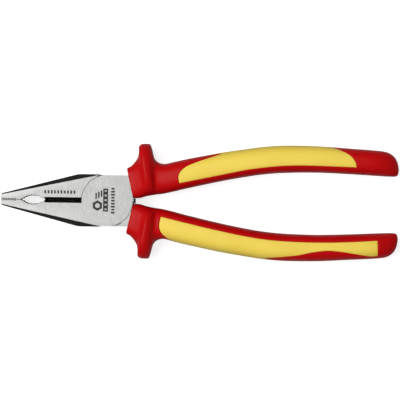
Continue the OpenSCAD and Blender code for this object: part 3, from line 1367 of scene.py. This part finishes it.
@dataclass(frozen=True)
class Studio:
    """Pale floor, soft light from above and a long lens that looks straight down."""

    aim: Point = (41.93, 0.91)
    view_width: float = 181.4
    roll: float = 0.87
    height: float = 1.3
    sensor: float = 36.0
    clip: Point = (0.05, 20.0)
    floor_size: float = 6.0
    sky: Colour = (1.0, 1.0, 1.0)
    sky_low: float = 0.05
    sky_high: float = 0.3
    sky_full_at: float = 0.6
    floor_glow: float = 0.78
    softboxes: tuple[Softbox, ...] = (
        Softbox("softbox_above", (-0.5, 0.15, 1.35), (0.9, 0.9), 19.0),
        Softbox("softbox_left", (-1.5, 0.1, 1.1), (1.4, 0.8), 1.0),
        Softbox("softbox_right", (1.7, -0.1, 1.1), (1.4, 0.8), 0.3),
    )

    def camera(self, level: float) -> None:
        """Places the camera over the tool.

        Args:
            level: Height of the tool's middle plane, in metres.
        """
        lens = bpy.data.cameras.new("overhead")
        lens.sensor_width = self.sensor
        lens.lens = self.sensor * self.height / (self.view_width * MM)
        lens.clip_start, lens.clip_end = self.clip
        camera = bpy.data.objects.new("overhead", lens)
        camera.location = (self.aim[0] * MM, self.aim[1] * MM, level + self.height)
        camera.rotation_euler = (0.0, 0.0, math.radians(self.roll))
        bpy.context.scene.collection.objects.link(camera)
        bpy.context.scene.camera = camera

    def lamp(self, box: Softbox) -> None:
        """Adds a lamp.

        Args:
            box: The lamp's place, size and power.
        """
        light = bpy.data.lights.new(box.name, "AREA")
        light.shape = "RECTANGLE"
        light.size, light.size_y = box.size
        light.energy = box.power
        lamp = bpy.data.objects.new(box.name, light)
        lamp.location = box.place
        aim = Vector((self.aim[0] * MM, self.aim[1] * MM, 0)) - Vector(box.place)
        lamp.rotation_euler = aim.to_track_quat("-Z", "Y").to_euler()
        bpy.context.scene.collection.objects.link(lamp)

    def brighten(self, pale: bpy.types.Material) -> None:
        """Lifts the floor to white where it is seen directly, with no light thrown on the tool.

        Args:
            pale: The floor's material, which is changed.
        """
        tree = pale.node_tree
        shader = tree.nodes["Principled BSDF"]
        shader.inputs["Emission Color"].default_value = (*self.sky, 1.0)
        seen = node_in(tree, "ShaderNodeLightPath")
        glow = node_in(tree, "ShaderNodeMath", operation="MULTIPLY")
        glow.inputs[1].default_value = self.floor_glow
        wire(tree, (seen, "Is Camera Ray", glow, 0), (glow, 0, shader, "Emission Strength"))

    def floor(self, floor_z: float) -> None:
        """Lays the floor.

        Args:
            floor_z: Height of the floor, in metres.
        """
        bm = bmesh.new()
        bmesh.ops.create_grid(bm, x_segments=2, y_segments=2, size=self.floor_size / 2)
        for v in bm.verts:
            v.co.z = floor_z
        mesh = mesh_of(bm, "floor")
        pale = PALE_FLOOR.material()
        self.brighten(pale)
        mesh.materials.append(pale)
        new_piece("floor", mesh)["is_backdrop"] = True

    def surround(self) -> None:
        """Sets up the sky, brighter overhead than at the horizon."""
        world = bpy.data.worlds.new("studio")
        bpy.context.scene.world = world
        world.use_nodes = True
        tree = world.node_tree
        back = tree.nodes["Background"]
        back.inputs["Color"].default_value = (*self.sky, 1.0)
        heading = node_in(tree, "ShaderNodeTexCoord")
        split = node_in(tree, "ShaderNodeSeparateXYZ")
        rise = node_in(
            tree, "ShaderNodeMapRange", From_Max=self.sky_full_at, To_Min=self.sky_low,
            To_Max=self.sky_high,
        )
        wire(
            tree,
            (heading, "Generated", split, 0),
            (split, "Z", rise, "Value"),
            (rise, "Result", back, "Strength"),
        )

    def build(self, floor_z: float, level: float) -> None:
        """Sets up the floor, sky, lamps and camera.

        Args:
            floor_z: Height of the floor, in metres.
            level: Height of the tool's middle plane, in metres.
        """
        self.floor(floor_z)
        self.surround()
        for box in self.softboxes:
            self.lamp(box)
        self.camera(level)
        bpy.context.scene.view_settings.view_transform = "Standard"


# ---- The whole tool ----


HIDDEN_FINISHES = {
    "pivot_rivet": GROUND_STEEL, "upper_sleeve": INNER_LAYER, "lower_sleeve": INNER_LAYER,
}


def dress_hidden_nodes(nodes: dict[str, bpy.types.Object]) -> None:
    """Gives the CAD nodes that stay, the rivet and the inner sleeves, their finishes.

    Args:
        nodes: The CAD nodes' objects by name.
    """
    for node, finish in HIDDEN_FINISHES.items():
        for slot in nodes[node].material_slots:
            slot.material = finish.material()
        log.info("dressed %s", node)


def main() -> None:
    """Builds every piece round the frame."""
    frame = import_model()
    cad_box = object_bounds()
    logging.basicConfig(level=logging.INFO, format="%(message)s")
    nodes = frame["nodes"]
    pivot_z = frame["joints"][0]["pos_m"][2]
    face_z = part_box("front_half")[1].z
    for build_group in (grain_group, tone_group, wear_group, tick_row_tree):
        build_group()
    Studio().build(cad_box[0].z, pivot_z)
    dress_hidden_nodes(nodes)
    skin = Skin()
    pieces = []
    for lever in Lever:
        grip = Grip(lever, nodes, pivot_z, skin)
        pieces += [Forging(lever, nodes, pivot_z).build(), grip.build_shell(), grip.build_inlay()]
    pieces += [marks.build(face_z) for marks in (*TICK_ROWS, Badge())]
    for piece in pieces:
        log.info("%s: %d faces", piece.name, len(piece.data.polygons))


if __name__ == "__main__":
    main()
